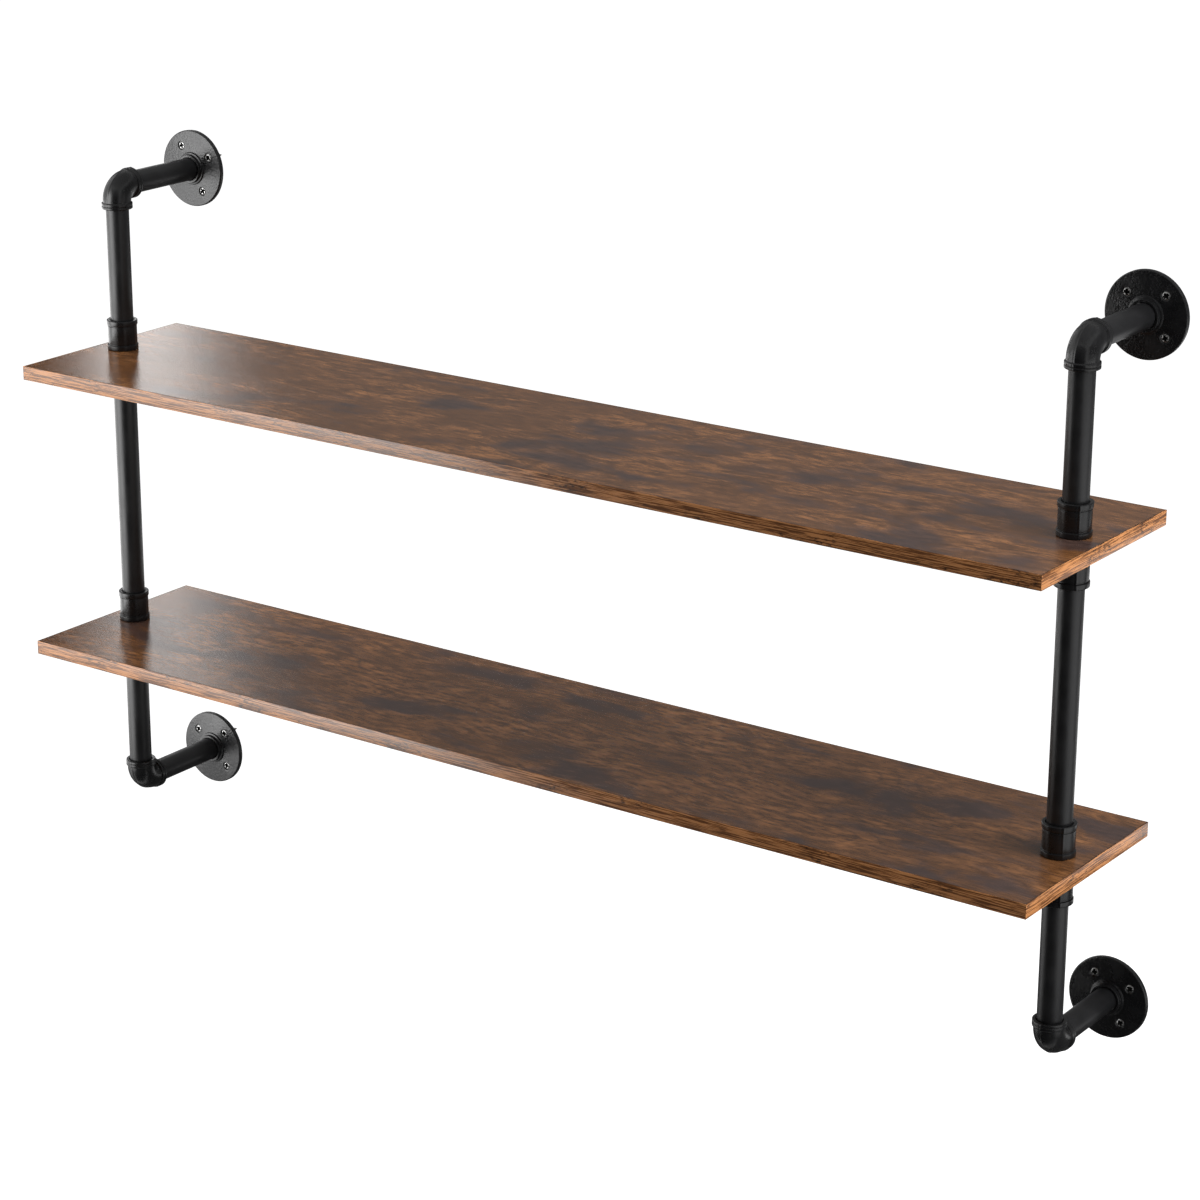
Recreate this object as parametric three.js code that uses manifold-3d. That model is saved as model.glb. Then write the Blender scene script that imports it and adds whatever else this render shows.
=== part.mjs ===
import * as THREE from 'three';
import { mergeVertices } from 'three/addons/utils/BufferGeometryUtils.js';
import Module from 'manifold-3d';

// A wall shelving unit: two boards carried by black iron pipe and cast fittings.
// Millimetres, +Z up. The wall is the plane Y = 0 and everything stands in front of it, at negative Y.
// X = 0 is the middle of the boards. Z = 0 is midway between the upper and the lower flanges.

// Boards, and where the pipework meets them
const shelfLength = 1320;
const shelfDepth = 260;
const shelfThickness = 16;
const shelfEdgeEase = 0.4;
const shelfPitch = 334;
const shelfHoleClearance = 0.6;
const postInset = 35;
const wallToPost = 134.5;
const armAboveUpperShelf = 193;
const armBelowLowerShelf = 191;

// Pipe of the three-quarter inch size, and how it screws into a coupling
const pipeRadius = 13.35;
const pipeWall = 2.8;
const threadEngagement = 14;
const threadClearance = 0.3;
const seatClearance = 0.3;

// Cast fittings: a body wall round the thread, with a raised band at each mouth
const castWall = 2.75;
const bandRise = 1.5;
const bandSlope = 1.3;
const bandChamfer = 0.8;
const couplingBandWidth = 6;
const couplingPipeSpacing = 7;
const couplingSeamWidth = 2.4;
const couplingSeamRise = 0.8;
const elbowBandWidth = 6.5;
const elbowThreadEngagement = 7.5;
const elbowThreadRunout = 1;
const elbowCrotchRadius = 1.3;
const elbowSeamWidth = 2.4;
const elbowSeamRise = 0.8;

// Wall flange: a thin disc with a low stepped hub
const flangeRadius = 45.4;
const flangeThickness = 5.3;
const flangeRimChamfer = 1.2;
const flangeHubHeight = 12;
const flangePipeSetback = 1;
const flangeLipWall = 3.3;
const flangeLipLength = 4.2;
const flangeShoulderLength = 0.7;
const flangeHubWall = 5.2;
const flangeHubDraft = 0.3;
const flangeFillet = 0.5;
const boltCircleRadius = 30;

// Countersunk wood screw
const screwHeadRadius = 4.3;
const screwHeadEdge = 0.2;
const screwHeadSink = 0.6;
const screwShankRadius = 2.1;
const screwLength = 25;
const screwTipLength = 5;
const screwHoleClearance = 0.5;
const screwSeatClearance = 0.3;

const cutOverrun = 1;
const seamRoot = 1;
const roundSides = 20;
const holeSides = 12;
const screwSides = 10;
const bendSteps = 6;
const waterwaySteps = 3;
const boltCount = 4;
const couplingSeamCount = 2;

// How far each flange was turned when its pipe pulled up tight, from +X towards +Z
const flangeTurns = { upper_left: -14, lower_left: 3.5, upper_right: 2, lower_right: -12 };

// Where the mould seam of the couplings on each post points, from +X towards +Y
const couplingTurns = { left: 5, right: -48 };

const postSpacing = shelfLength - 2 * postInset;
const boreRadius = pipeRadius + threadClearance;
const waterwayRadius = pipeRadius - pipeWall;
const bodyRadius = boreRadius + castWall;
const bandRadius = bodyRadius + bandRise;
const couplingLength = 2 * threadEngagement + couplingPipeSpacing;
const elbowStraight = elbowThreadEngagement + elbowThreadRunout;
const elbowBendRadius = bodyRadius + elbowCrotchRadius;
const elbowReach = elbowStraight + elbowBendRadius;
const boltHoleRadius = screwShankRadius + screwHoleClearance;
const countersinkRadius = screwHeadRadius + screwHeadEdge + screwHeadSink + Math.SQRT2 * screwSeatClearance;

const upperArmZ = (armAboveUpperShelf + shelfPitch + shelfThickness + armBelowLowerShelf) / 2;
const lowerArmZ = -upperArmZ;
const shelfTops = { upper: upperArmZ - armAboveUpperShelf };
shelfTops.lower = shelfTops.upper - shelfPitch;
const sideX = { left: -postSpacing / 2, right: postSpacing / 2 };

const boardFinish = { color: 0x5f3c28, roughness: 0.42, metalness: 0 };
const pipeFinish = { color: 0x2a2a2b, roughness: 0.5, metalness: 0.2 };
const castFinish = { color: 0x212122, roughness: 0.62, metalness: 0.2 };
const screwFinish = { color: 0xb9b9b6, roughness: 0.3, metalness: 1 };

const wasm = await Module();
wasm.setup();

// A closed solid for joining and cutting, from the positions and faces of a geometry.
function toSolid(geometry) {
  const bare = geometry.clone();
  bare.deleteAttribute('normal');
  bare.deleteAttribute('uv');
  const merged = mergeVertices(bare);
  const corners = merged.index.array;
  const faces = [];
  for (let i = 0; i < corners.length; i += 3) {
    const [a, b, c] = corners.slice(i, i + 3);
    if (a !== b && b !== c && c !== a) {
      faces.push(a, b, c);
    }
  }
  return new wasm.Manifold(new wasm.Mesh({
    numProp: 3,
    vertProperties: Float32Array.from(merged.attributes.position.array),
    triVerts: Uint32Array.from(faces),
  }));
}

function toGeometry(solid) {
  const mesh = solid.getMesh();
  const geometry = new THREE.BufferGeometry();
  geometry.setAttribute('position', new THREE.BufferAttribute(mesh.vertProperties, 3));
  geometry.setIndex(new THREE.BufferAttribute(mesh.triVerts, 1));
  geometry.computeVertexNormals();
  return geometry;
}

// A ring turned round Y. Its outline runs outwards along the low end, up the outside and back inside.
function turnedRing(outline, sides) {
  const points = outline.map(([radius, height]) => new THREE.Vector2(radius, height));
  points.push(points[0].clone());
  return new THREE.LatheGeometry(points, sides);
}

// A piece turned round Y that is solid to its axis, where its outline starts and ends.
function turnedSolid(outline, sides) {
  const points = outline.map(([radius, height]) => new THREE.Vector2(radius, height));
  return new THREE.LatheGeometry(points, sides);
}

// The outside of a mouth's band, from the open face inwards: chamfer, band, and slope to the body.
function bandOutline(bandWidth) {
  return [
    [bandRadius - bandChamfer, 0],
    [bandRadius, bandChamfer],
    [bandRadius, bandWidth],
    [bodyRadius, bandWidth + bandSlope],
  ];
}

function mirrored(outline, length) {
  return outline.map(([radius, height]) => [radius, length - height]).reverse();
}

function shelfBoard() {
  const board = new THREE.Shape();
  board.moveTo(-shelfLength / 2, -shelfDepth / 2);
  board.lineTo(shelfLength / 2, -shelfDepth / 2);
  board.lineTo(shelfLength / 2, shelfDepth / 2);
  board.lineTo(-shelfLength / 2, shelfDepth / 2);
  board.closePath();
  for (const x of Object.values(sideX)) {
    const hole = new THREE.Path();
    hole.absarc(x, 0, pipeRadius + shelfHoleClearance, 0, 2 * Math.PI, true);
    board.holes.push(hole);
  }
  const geometry = new THREE.ExtrudeGeometry(board, {
    depth: shelfThickness - 2 * shelfEdgeEase,
    bevelThickness: shelfEdgeEase,
    bevelSize: shelfEdgeEase,
    bevelOffset: -shelfEdgeEase,
    bevelSegments: 1,
    curveSegments: roundSides / 2,
  });
  return geometry.translate(0, 0, shelfEdgeEase);
}

function pipe(length) {
  return turnedRing([
    [pipeRadius - pipeWall, 0],
    [pipeRadius, 0],
    [pipeRadius, length],
    [pipeRadius - pipeWall, length],
  ], roundSides);
}

// A banded coupling, with a raised mould seam down each side between its bands, standing on Z = 0.
function coupling() {
  const band = bandOutline(couplingBandWidth);
  const ring = turnedRing([
    [boreRadius, 0],
    ...band,
    ...mirrored(band, couplingLength),
    [boreRadius, couplingLength],
  ], roundSides);
  let solid = toSolid(ring.rotateX(Math.PI / 2));
  const seamDepth = seamRoot + couplingSeamRise;
  const seamLength = couplingLength - couplingBandWidth;
  for (let i = 0; i < couplingSeamCount; i += 1) {
    const seam = new THREE.BoxGeometry(seamDepth, couplingSeamWidth, seamLength);
    seam.translate(bodyRadius + couplingSeamRise - seamDepth / 2, 0, couplingLength / 2);
    seam.rotateZ((2 * Math.PI * i) / couplingSeamCount);
    solid = solid.add(toSolid(seam));
  }
  return toGeometry(solid);
}

// Turns a straight turned piece into an elbow: straight mouths and a quarter circle between them.
// The mouths then face -Z and +Y, and their axes meet at the origin.
function bendQuarter(geometry) {
  const place = geometry.attributes.position;
  const arc = (elbowBendRadius * Math.PI) / 2;
  for (let i = 0; i < place.count; i += 1) {
    const along = place.getY(i) - elbowStraight;
    const outward = place.getZ(i);
    const turn = THREE.MathUtils.clamp(along, 0, arc) / elbowBendRadius;
    const run = elbowBendRadius + outward;
    const before = Math.min(along, 0);
    const after = Math.max(along - arc, 0);
    const y = elbowBendRadius - run * Math.cos(turn) + after;
    const z = -elbowBendRadius + run * Math.sin(turn) + before;
    place.setXYZ(i, place.getX(i), y, z);
  }
  return geometry;
}

// The outside and the inside of the bend as points along the centre line.
function bendStations(radius, steps) {
  const stations = [];
  for (let i = 0; i <= steps; i += 1) {
    stations.push([radius, elbowStraight + (elbowBendRadius * Math.PI * i) / (2 * steps)]);
  }
  return stations;
}

// The raised mould seam, a thin fin in the plane of the bend along its outer side.
function elbowSeam() {
  const top = elbowBendRadius + bodyRadius + elbowSeamRise;
  const root = elbowBendRadius + bodyRadius - seamRoot;
  const end = elbowReach - elbowBandWidth - elbowBendRadius;
  const fin = new THREE.Shape();
  fin.moveTo(-top, -end);
  fin.lineTo(-root, -end);
  fin.lineTo(-root, 0);
  fin.absarc(0, 0, root, Math.PI, Math.PI / 2, true);
  fin.lineTo(end, root);
  fin.lineTo(end, top);
  fin.lineTo(0, top);
  fin.absarc(0, 0, top, Math.PI / 2, Math.PI, false);
  fin.closePath();
  const geometry = new THREE.ExtrudeGeometry(fin, {
    depth: elbowSeamWidth,
    bevelEnabled: false,
    curveSegments: bendSteps / 2,
  });
  geometry.translate(elbowBendRadius, -elbowBendRadius, -elbowSeamWidth / 2);
  geometry.rotateY(Math.PI / 2);
  geometry.rotateX(Math.PI / 2);
  return geometry;
}

function elbow() {
  const length = 2 * elbowStraight + (elbowBendRadius * Math.PI) / 2;
  const band = bandOutline(elbowBandWidth);
  const straightPipe = turnedRing([
    [boreRadius, 0],
    ...band,
    ...bendStations(bodyRadius, bendSteps),
    ...mirrored(band, length),
    [boreRadius, length],
    [boreRadius, length - elbowStraight],
    ...bendStations(waterwayRadius, waterwaySteps).reverse(),
    [boreRadius, elbowStraight],
  ], roundSides);
  return toGeometry(toSolid(bendQuarter(straightPipe)).add(toSolid(elbowSeam())));
}

// A flange on the Y axis: its back is the plane Y = 0 and its hub points to -Y.
function flange() {
  const lipRadius = boreRadius + flangeLipWall;
  const hubRadius = boreRadius + flangeHubWall;
  const lipEnd = flangeLipLength - flangeHubHeight;
  const ring = turnedRing([
    [boreRadius, -flangeHubHeight],
    [lipRadius - bandChamfer, -flangeHubHeight],
    [lipRadius, bandChamfer - flangeHubHeight],
    [lipRadius, lipEnd],
    [hubRadius, lipEnd + flangeShoulderLength],
    [hubRadius + flangeHubDraft, -flangeThickness - flangeFillet],
    [hubRadius + flangeHubDraft + flangeFillet, -flangeThickness],
    [flangeRadius - flangeRimChamfer, -flangeThickness],
    [flangeRadius, flangeRimChamfer - flangeThickness],
    [flangeRadius, 0],
    [boreRadius, 0],
  ], roundSides);
  const drill = turnedSolid([
    [0, -flangeThickness - cutOverrun],
    [countersinkRadius + cutOverrun, -flangeThickness - cutOverrun],
    [boltHoleRadius, countersinkRadius - boltHoleRadius - flangeThickness],
    [boltHoleRadius, cutOverrun],
    [0, cutOverrun],
  ], holeSides);
  let solid = toSolid(ring);
  for (const [x, z] of boltPlaces()) {
    solid = solid.subtract(toSolid(drill.clone().translate(x, 0, z)));
  }
  return toGeometry(solid);
}

function boltPlaces() {
  const places = [];
  for (let i = 0; i < boltCount; i += 1) {
    const angle = ((2 * i + 1) * Math.PI) / boltCount;
    places.push([boltCircleRadius * Math.cos(angle), boltCircleRadius * Math.sin(angle)]);
  }
  return places;
}

// A screw on the Y axis, its head sunk a little below the flange's front face.
function screw() {
  const headTop = screwHeadSink - flangeThickness;
  const coneStart = headTop + screwHeadEdge;
  const tip = headTop + screwLength;
  return turnedSolid([
    [0, headTop],
    [screwHeadRadius, headTop],
    [screwHeadRadius, coneStart],
    [screwShankRadius, coneStart + screwHeadRadius - screwShankRadius],
    [screwShankRadius, tip - screwTipLength],
    [0, tip],
  ], screwSides);
}

const unit = new THREE.Group();

function addPiece(parent, name, geometry, finish) {
  const piece = new THREE.Mesh(geometry, new THREE.MeshStandardMaterial(finish));
  piece.name = name;
  parent.add(piece);
  return piece;
}

function addUprightPipe(name, x, low, high) {
  const piece = addPiece(unit, name, pipe(high - low), pipeFinish);
  piece.rotation.x = Math.PI / 2;
  piece.position.set(x, -wallToPost, low);
}

function addShelf(level) {
  const piece = addPiece(unit, `shelf_${level}`, shelfBoard(), boardFinish);
  piece.position.set(0, -wallToPost, shelfTops[level] - shelfThickness);
}

// Two couplings clamp a board between them, on a short nipple through its hole.
function addShelfJoint(level, side) {
  const top = shelfTops[level] + seatClearance;
  const under = shelfTops[level] - shelfThickness - seatClearance;
  const seats = { above: top, below: under - couplingLength };
  for (const [place, seat] of Object.entries(seats)) {
    const name = `coupling_${place}_${level}_shelf_${side}`;
    const piece = addPiece(unit, name, coupling(), castFinish);
    piece.position.set(sideX[side], -wallToPost, seat);
    piece.rotation.z = THREE.MathUtils.degToRad(couplingTurns[side]);
  }
  const nippleName = `through_nipple_${level}_${side}`;
  addUprightPipe(nippleName, sideX[side], under - threadEngagement, top + threadEngagement);
}

function addPosts(side) {
  const grip = seatClearance + couplingLength - threadEngagement;
  const elbowGrip = elbowReach - elbowThreadEngagement;
  const upperUnder = shelfTops.upper - shelfThickness;
  const lowerUnder = shelfTops.lower - shelfThickness;
  addUprightPipe(`post_upper_${side}`, sideX[side], shelfTops.upper + grip, upperArmZ - elbowGrip);
  addUprightPipe(`post_middle_${side}`, sideX[side], shelfTops.lower + grip, upperUnder - grip);
  addUprightPipe(`post_lower_${side}`, sideX[side], lowerArmZ + elbowGrip, lowerUnder - grip);
}

// One corner of the frame: elbow, arm, wall flange and its screws.
function addWallArm(level, side) {
  const key = `${level}_${side}`;
  const z = level === 'upper' ? upperArmZ : lowerArmZ;
  const corner = addPiece(unit, `elbow_${key}`, elbow(), castFinish);
  corner.position.set(sideX[side], -wallToPost, z);
  corner.rotation.y = level === 'upper' ? 0 : Math.PI;

  const armStart = elbowReach - elbowThreadEngagement - wallToPost;
  const arm = addPiece(unit, `arm_${key}`, pipe(-flangePipeSetback - armStart), pipeFinish);
  arm.position.set(sideX[side], armStart, z);

  const plate = new THREE.Group();
  plate.position.set(sideX[side], 0, z);
  plate.rotation.y = -THREE.MathUtils.degToRad(flangeTurns[key]);
  addPiece(plate, `flange_${key}`, flange(), castFinish);
  boltPlaces().forEach(([x, height], i) => {
    const piece = addPiece(plate, `screw_${key}_${i + 1}`, screw(), screwFinish);
    piece.position.set(x, 0, height);
  });
  unit.add(plate);
}

for (const level of Object.keys(shelfTops)) {
  addShelf(level);
}
for (const side of Object.keys(sideX)) {
  addPosts(side);
  for (const level of Object.keys(shelfTops)) {
    addShelfJoint(level, side);
    addWallArm(level, side);
  }
}

export default unit;
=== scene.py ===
import math

import bmesh
import bpy
from mathutils import Matrix, Vector


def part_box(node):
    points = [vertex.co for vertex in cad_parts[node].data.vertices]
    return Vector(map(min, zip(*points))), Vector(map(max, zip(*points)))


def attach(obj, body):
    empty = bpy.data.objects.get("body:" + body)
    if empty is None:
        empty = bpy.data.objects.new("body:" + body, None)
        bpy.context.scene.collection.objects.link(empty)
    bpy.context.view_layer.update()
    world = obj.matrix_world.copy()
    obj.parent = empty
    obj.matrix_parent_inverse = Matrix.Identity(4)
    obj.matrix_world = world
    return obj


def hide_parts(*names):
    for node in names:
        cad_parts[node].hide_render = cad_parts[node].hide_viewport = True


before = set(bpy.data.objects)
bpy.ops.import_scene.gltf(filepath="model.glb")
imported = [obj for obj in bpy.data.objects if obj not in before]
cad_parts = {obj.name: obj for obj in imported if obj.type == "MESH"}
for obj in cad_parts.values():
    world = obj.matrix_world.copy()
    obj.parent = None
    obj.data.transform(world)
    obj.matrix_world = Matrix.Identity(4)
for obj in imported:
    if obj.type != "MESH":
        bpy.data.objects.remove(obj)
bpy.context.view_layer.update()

# Wall flanges
# Round cast iron floor flanges, coated black. The stepped hub takes the pipe's thread, the back is
# flat to the wall, and four holes are drilled and countersunk through the disc.
MM = 0.001
FLANGE_RADIUS = 45.3 * MM
FLANGE_THICKNESS = 5.3 * MM
FLANGE_HUB_HEIGHT = 12 * MM
FLANGE_BORE_RADIUS = 13.65 * MM
FLANGE_LIP_RADIUS = 16.95 * MM
FLANGE_LIP_LENGTH = 4.2 * MM
FLANGE_HUB_RADIUS = 19.0 * MM
FLANGE_SIDES = 128
# Degrees from the diagonals to each flange's holes.
FLANGE_TURNS = {"upper_left": -14, "lower_left": 3.5, "upper_right": 2, "lower_right": -12}
BOLT_HOLES = 4
BOLT_CIRCLE_RADIUS = 30 * MM
BOLT_HOLE_RADIUS = 2.6 * MM
BOLT_HOLE_SIDES = 40
COUNTERSINK_RADIUS = 5.5 * MM
DRILL_CLEARANCE = 1 * MM
ROUNDING_STEPS = 4
MERGE_DISTANCE = 0.0005 * MM
COAT_PEEL_SIZE = 6 * MM
COAT_MOTTLE_SIZE = 30 * MM
NOISE_RANGE = (0.3, 0.7)
CREASE_DEGREES = 38


def rounded_outline(corners):
    """A closed outline of (radius, height, rounding) corners with each rounded corner as an arc."""
    points = []
    for i, (radius, height, rounding) in enumerate(corners):
        here = Vector((radius, height))
        if rounding == 0:
            points.append(here)
            continue
        back = (Vector(corners[i - 1][:2]) - here).normalized()
        onward = (Vector(corners[(i + 1) % len(corners)][:2]) - here).normalized()
        half = back.angle(onward) / 2
        centre = here + (back + onward).normalized() * (rounding / math.sin(half))
        start = here + back * (rounding / math.tan(half)) - centre
        end = here + onward * (rounding / math.tan(half)) - centre
        for k in range(ROUNDING_STEPS + 1):
            points.append(centre + start.lerp(end, k / ROUNDING_STEPS).normalized() * rounding)
    return points


def even_angles(sides):
    return [2 * math.pi * k / sides for k in range(sides)]


def join_rings(shape, rings):
    """Faces from each closed ring of corners to the next one."""
    for ring, following in zip(rings, rings[1:]):
        for i in range(len(ring)):
            j = (i + 1) % len(ring)
            shape.faces.new((ring[i], following[i], following[j], ring[j]))


def turned_mesh(name, outline, angles, place):
    """The closed outline carried round through the angles. place puts each of its points."""
    shape = bmesh.new()
    rings = []
    for angle in angles:
        rings.append([shape.verts.new(place(radius, height, angle)) for radius, height in outline])
    join_rings(shape, rings + rings[:1])
    return finished_mesh(name, shape)


def finished_mesh(name, shape, crease=CREASE_DEGREES):
    """Closes a bmesh into a mesh shaded smooth, except across edges sharper than crease degrees."""
    bmesh.ops.remove_doubles(shape, verts=shape.verts, dist=MERGE_DISTANCE)
    bmesh.ops.recalc_face_normals(shape, faces=shape.faces)
    mesh = bpy.data.meshes.new(name)
    shape.to_mesh(mesh)
    shape.free()
    mesh.shade_smooth()
    mesh.set_sharp_from_angle(angle=math.radians(crease))
    return mesh


def put_in_scene(name, data):
    made = bpy.data.objects.new(name, data)
    bpy.context.scene.collection.objects.link(made)
    return made


def cut_away(mesh, cutter_mesh):
    """Cuts one mesh out of another."""
    piece = put_in_scene("blank", mesh)
    cutter = put_in_scene("cutter", cutter_mesh)
    difference = piece.modifiers.new("cut", "BOOLEAN")
    difference.operation = "DIFFERENCE"
    difference.solver = "EXACT"
    difference.object = cutter
    graph = bpy.context.evaluated_depsgraph_get()
    cut = bpy.data.meshes.new_from_object(piece.evaluated_get(graph))
    for used in (piece, cutter):
        bpy.data.objects.remove(used)
    return cut


def along_y(radius, height, angle):
    return Vector((radius * math.cos(angle), height, radius * math.sin(angle)))


def flange_mesh():
    """A flange without its holes, on the Y axis with its back at 0."""
    face = -FLANGE_THICKNESS
    mouth = -FLANGE_HUB_HEIGHT
    step = mouth + FLANGE_LIP_LENGTH
    outline = rounded_outline([
        (FLANGE_BORE_RADIUS + 0.5 * MM, mouth, 0.2 * MM),
        (FLANGE_LIP_RADIUS, mouth, 0.7 * MM),
        (FLANGE_LIP_RADIUS, step, 0.3 * MM),
        (FLANGE_HUB_RADIUS, step + 0.4 * MM, 0.5 * MM),
        (FLANGE_HUB_RADIUS + 0.2 * MM, face, 0.6 * MM),
        (FLANGE_RADIUS, face, 1.5 * MM),
        (FLANGE_RADIUS, 0, 0.3 * MM),
        (FLANGE_BORE_RADIUS, 0, 0.4 * MM),
        (FLANGE_BORE_RADIUS, mouth + 0.6 * MM, 0),
    ])
    return turned_mesh("flange", outline, even_angles(FLANGE_SIDES), along_y)


def bolt_place(k):
    """Moves a thing from the flange's axis to its k-th hole."""
    angle = math.pi * (2 * k + 1) / BOLT_HOLES
    return Matrix.Translation(along_y(BOLT_CIRCLE_RADIUS, 0, angle))


def drilled(mesh):
    """The flange with its four countersunk holes."""
    depth = COUNTERSINK_RADIUS - BOLT_HOLE_RADIUS
    drill = [
        (0, -FLANGE_THICKNESS - DRILL_CLEARANCE),
        (COUNTERSINK_RADIUS + DRILL_CLEARANCE, -FLANGE_THICKNESS - DRILL_CLEARANCE),
        (BOLT_HOLE_RADIUS, depth - FLANGE_THICKNESS),
        (BOLT_HOLE_RADIUS, DRILL_CLEARANCE),
        (0, DRILL_CLEARANCE),
    ]
    shape = bmesh.new()
    for k in range(BOLT_HOLES):
        bit = turned_mesh("drill", drill, even_angles(BOLT_HOLE_SIDES), along_y)
        bit.transform(bolt_place(k))
        shape.from_mesh(bit)
    cutter = bpy.data.meshes.new("drills")
    shape.to_mesh(cutter)
    shape.free()
    shape = bmesh.new()
    shape.from_mesh(cut_away(mesh, cutter))
    return finished_mesh("flange_drilled", shape, crease=30)


def centre_of(node):
    low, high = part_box(node)
    return (low + high) / 2


def flange_frame(key):
    """Where a flange stands: on its arm's axis, back to the wall, turned as far as its thread let it."""
    arm = centre_of(f"arm_{key}")
    turn = Matrix.Rotation(math.radians(-FLANGE_TURNS[key]), 4, "Y")
    return Matrix.Translation((arm.x, 0, arm.z)) @ turn


def linear(red, green, blue):
    """A colour given as 0 to 255 screen values, as the linear colour that a shader takes."""
    shares = [value / 255 for value in (red, green, blue)]
    curved = [s / 12.92 if s <= 0.04045 else ((s + 0.055) / 1.055) ** 2.4 for s in shares]
    return (*curved, 1.0)


def set_inputs(tree, node, inputs):
    """Wires each named or numbered input of a node to a socket, or sets it to a value."""
    for key, value in inputs.items():
        if isinstance(value, bpy.types.NodeSocket):
            tree.links.new(value, node.inputs[key])
        else:
            node.inputs[key].default_value = value
    return node


def add_node(tree, kind, inputs=None, **settings):
    """Adds a node, sets its properties, and wires or sets its inputs."""
    made = tree.nodes.new("ShaderNode" + kind)
    for key, value in settings.items():
        setattr(made, key, value)
    return set_inputs(tree, made, inputs or {})


def place_group(tree, group, inputs):
    """Places a node group in a tree and wires or sets its inputs."""
    made = tree.nodes.new("ShaderNodeGroup")
    made.node_tree = group
    return set_inputs(tree, made, inputs)


def new_group(name, inputs, outputs):
    """An empty node group with named sockets, the values that come in, and its output node."""
    tree = bpy.data.node_groups.new(name, "ShaderNodeTree")
    for label, kind, value in inputs:
        socket = tree.interface.new_socket(label, in_out="INPUT", socket_type="NodeSocket" + kind)
        if value is not None:
            socket.default_value = value
    for label, kind in outputs:
        tree.interface.new_socket(label, in_out="OUTPUT", socket_type="NodeSocket" + kind)
    return tree, tree.nodes.new("NodeGroupInput").outputs, tree.nodes.new("NodeGroupOutput")


def new_material(name):
    """A material that is made of nodes, its node tree and its shader."""
    material = bpy.data.materials.new(name)
    material.use_nodes = True
    return material, material.node_tree, material.node_tree.nodes["Principled BSDF"]


def stretched_noise(tree, point, sizes, detail, roughness=0.55, distortion=0.0):
    """Noise whose lumps measure about sizes metres along the three axes."""
    per_metre = tuple(1 / size for size in sizes)
    scaled = add_node(tree, "VectorMath", {0: point, 1: per_metre}, operation="MULTIPLY")
    return add_node(tree, "TexNoise", {
        "Vector": scaled.outputs[0],
        "Scale": 1.0,
        "Detail": detail,
        "Roughness": roughness,
        "Distortion": distortion,
    }).outputs["Fac"]


def ramp(tree, value, low, high, start=0.0, end=1.0):
    """Spreads a value from low..high over start..end, smoothly, and clamps it there."""
    return add_node(tree, "MapRange", {
        "Value": value,
        "From Min": low,
        "From Max": high,
        "To Min": start,
        "To Max": end,
    }, interpolation_type="SMOOTHSTEP").outputs["Result"]


def blend_colours(tree, share, first, second):
    return add_node(tree, "Mix", {0: share, 6: first, 7: second}, data_type="RGBA").outputs[2]


def maths(tree, how, first, second):
    return add_node(tree, "Math", {0: first, 1: second}, operation=how).outputs[0]


# The black powder coat is the same on every pipe and casting. On pipe it lies smooth with a faint
# orange peel. On cast iron the sand grain of the mould shows through it.
coat_group, coat_in, coat_out = new_group(
    "coating_grain",
    [("Grain", "Float", 0.0009), ("Grain Height", "Float", 0.5), ("Peel Height", "Float", 0.5)],
    [("Height", "Float"), ("Mottle", "Float")],
)
coat_point = add_node(coat_group, "TexCoord").outputs["Object"]
coat_grain = add_node(coat_group, "TexNoise", {
    "Vector": coat_point,
    "Scale": maths(coat_group, "DIVIDE", 1.0, coat_in["Grain"]),
    "Detail": 3.0,
    "Roughness": 0.6,
}).outputs["Fac"]
coat_peel = stretched_noise(coat_group, coat_point, [COAT_PEEL_SIZE] * 3, detail=2.0)
set_inputs(coat_group, coat_out, {
    "Height": maths(
        coat_group,
        "ADD",
        maths(coat_group, "MULTIPLY", coat_grain, coat_in["Grain Height"]),
        maths(coat_group, "MULTIPLY", coat_peel, coat_in["Peel Height"]),
    ),
    "Mottle": stretched_noise(coat_group, coat_point, [COAT_MOTTLE_SIZE] * 3, detail=4.0, roughness=0.6),
})


def coated_material(name, dark, light, roughness, grain, grain_height, peel_height, depth):
    """Black coating: its colour and roughness wander a little, and its grain is raised."""
    material, tree, shader = new_material(name)
    coat = place_group(tree, coat_group, {
        "Grain": grain,
        "Grain Height": grain_height,
        "Peel Height": peel_height,
    }).outputs
    bump = add_node(tree, "Bump", {"Height": coat["Height"], "Strength": 1.0, "Distance": depth})
    set_inputs(tree, shader, {
        "Base Color": blend_colours(tree, ramp(tree, coat["Mottle"], *NOISE_RANGE), dark, light),
        "Roughness": ramp(tree, coat["Mottle"], *NOISE_RANGE, *roughness),
        "Normal": bump.outputs["Normal"],
    })
    return material


flange_coat = coated_material(
    "black_flange_coat",
    dark=linear(8, 8, 9),
    light=linear(16, 16, 17),
    roughness=(0.23, 0.32),
    grain=2.4 * MM,
    grain_height=1.0,
    peel_height=0.5,
    depth=0.42 * MM,
)


def add_piece(name, mesh, material, node):
    """Puts a piece in the scene in place of its node of the frame."""
    piece = put_in_scene(name, mesh)
    if not mesh.materials:
        mesh.materials.append(material)
    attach(piece, "root")
    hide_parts(node)


drilled_flange = drilled(flange_mesh())
for key in FLANGE_TURNS:
    mesh = drilled_flange.copy()
    mesh.transform(flange_frame(key))
    add_piece(f"wall_flange_{key}", mesh, flange_coat, f"flange_{key}")

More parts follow.
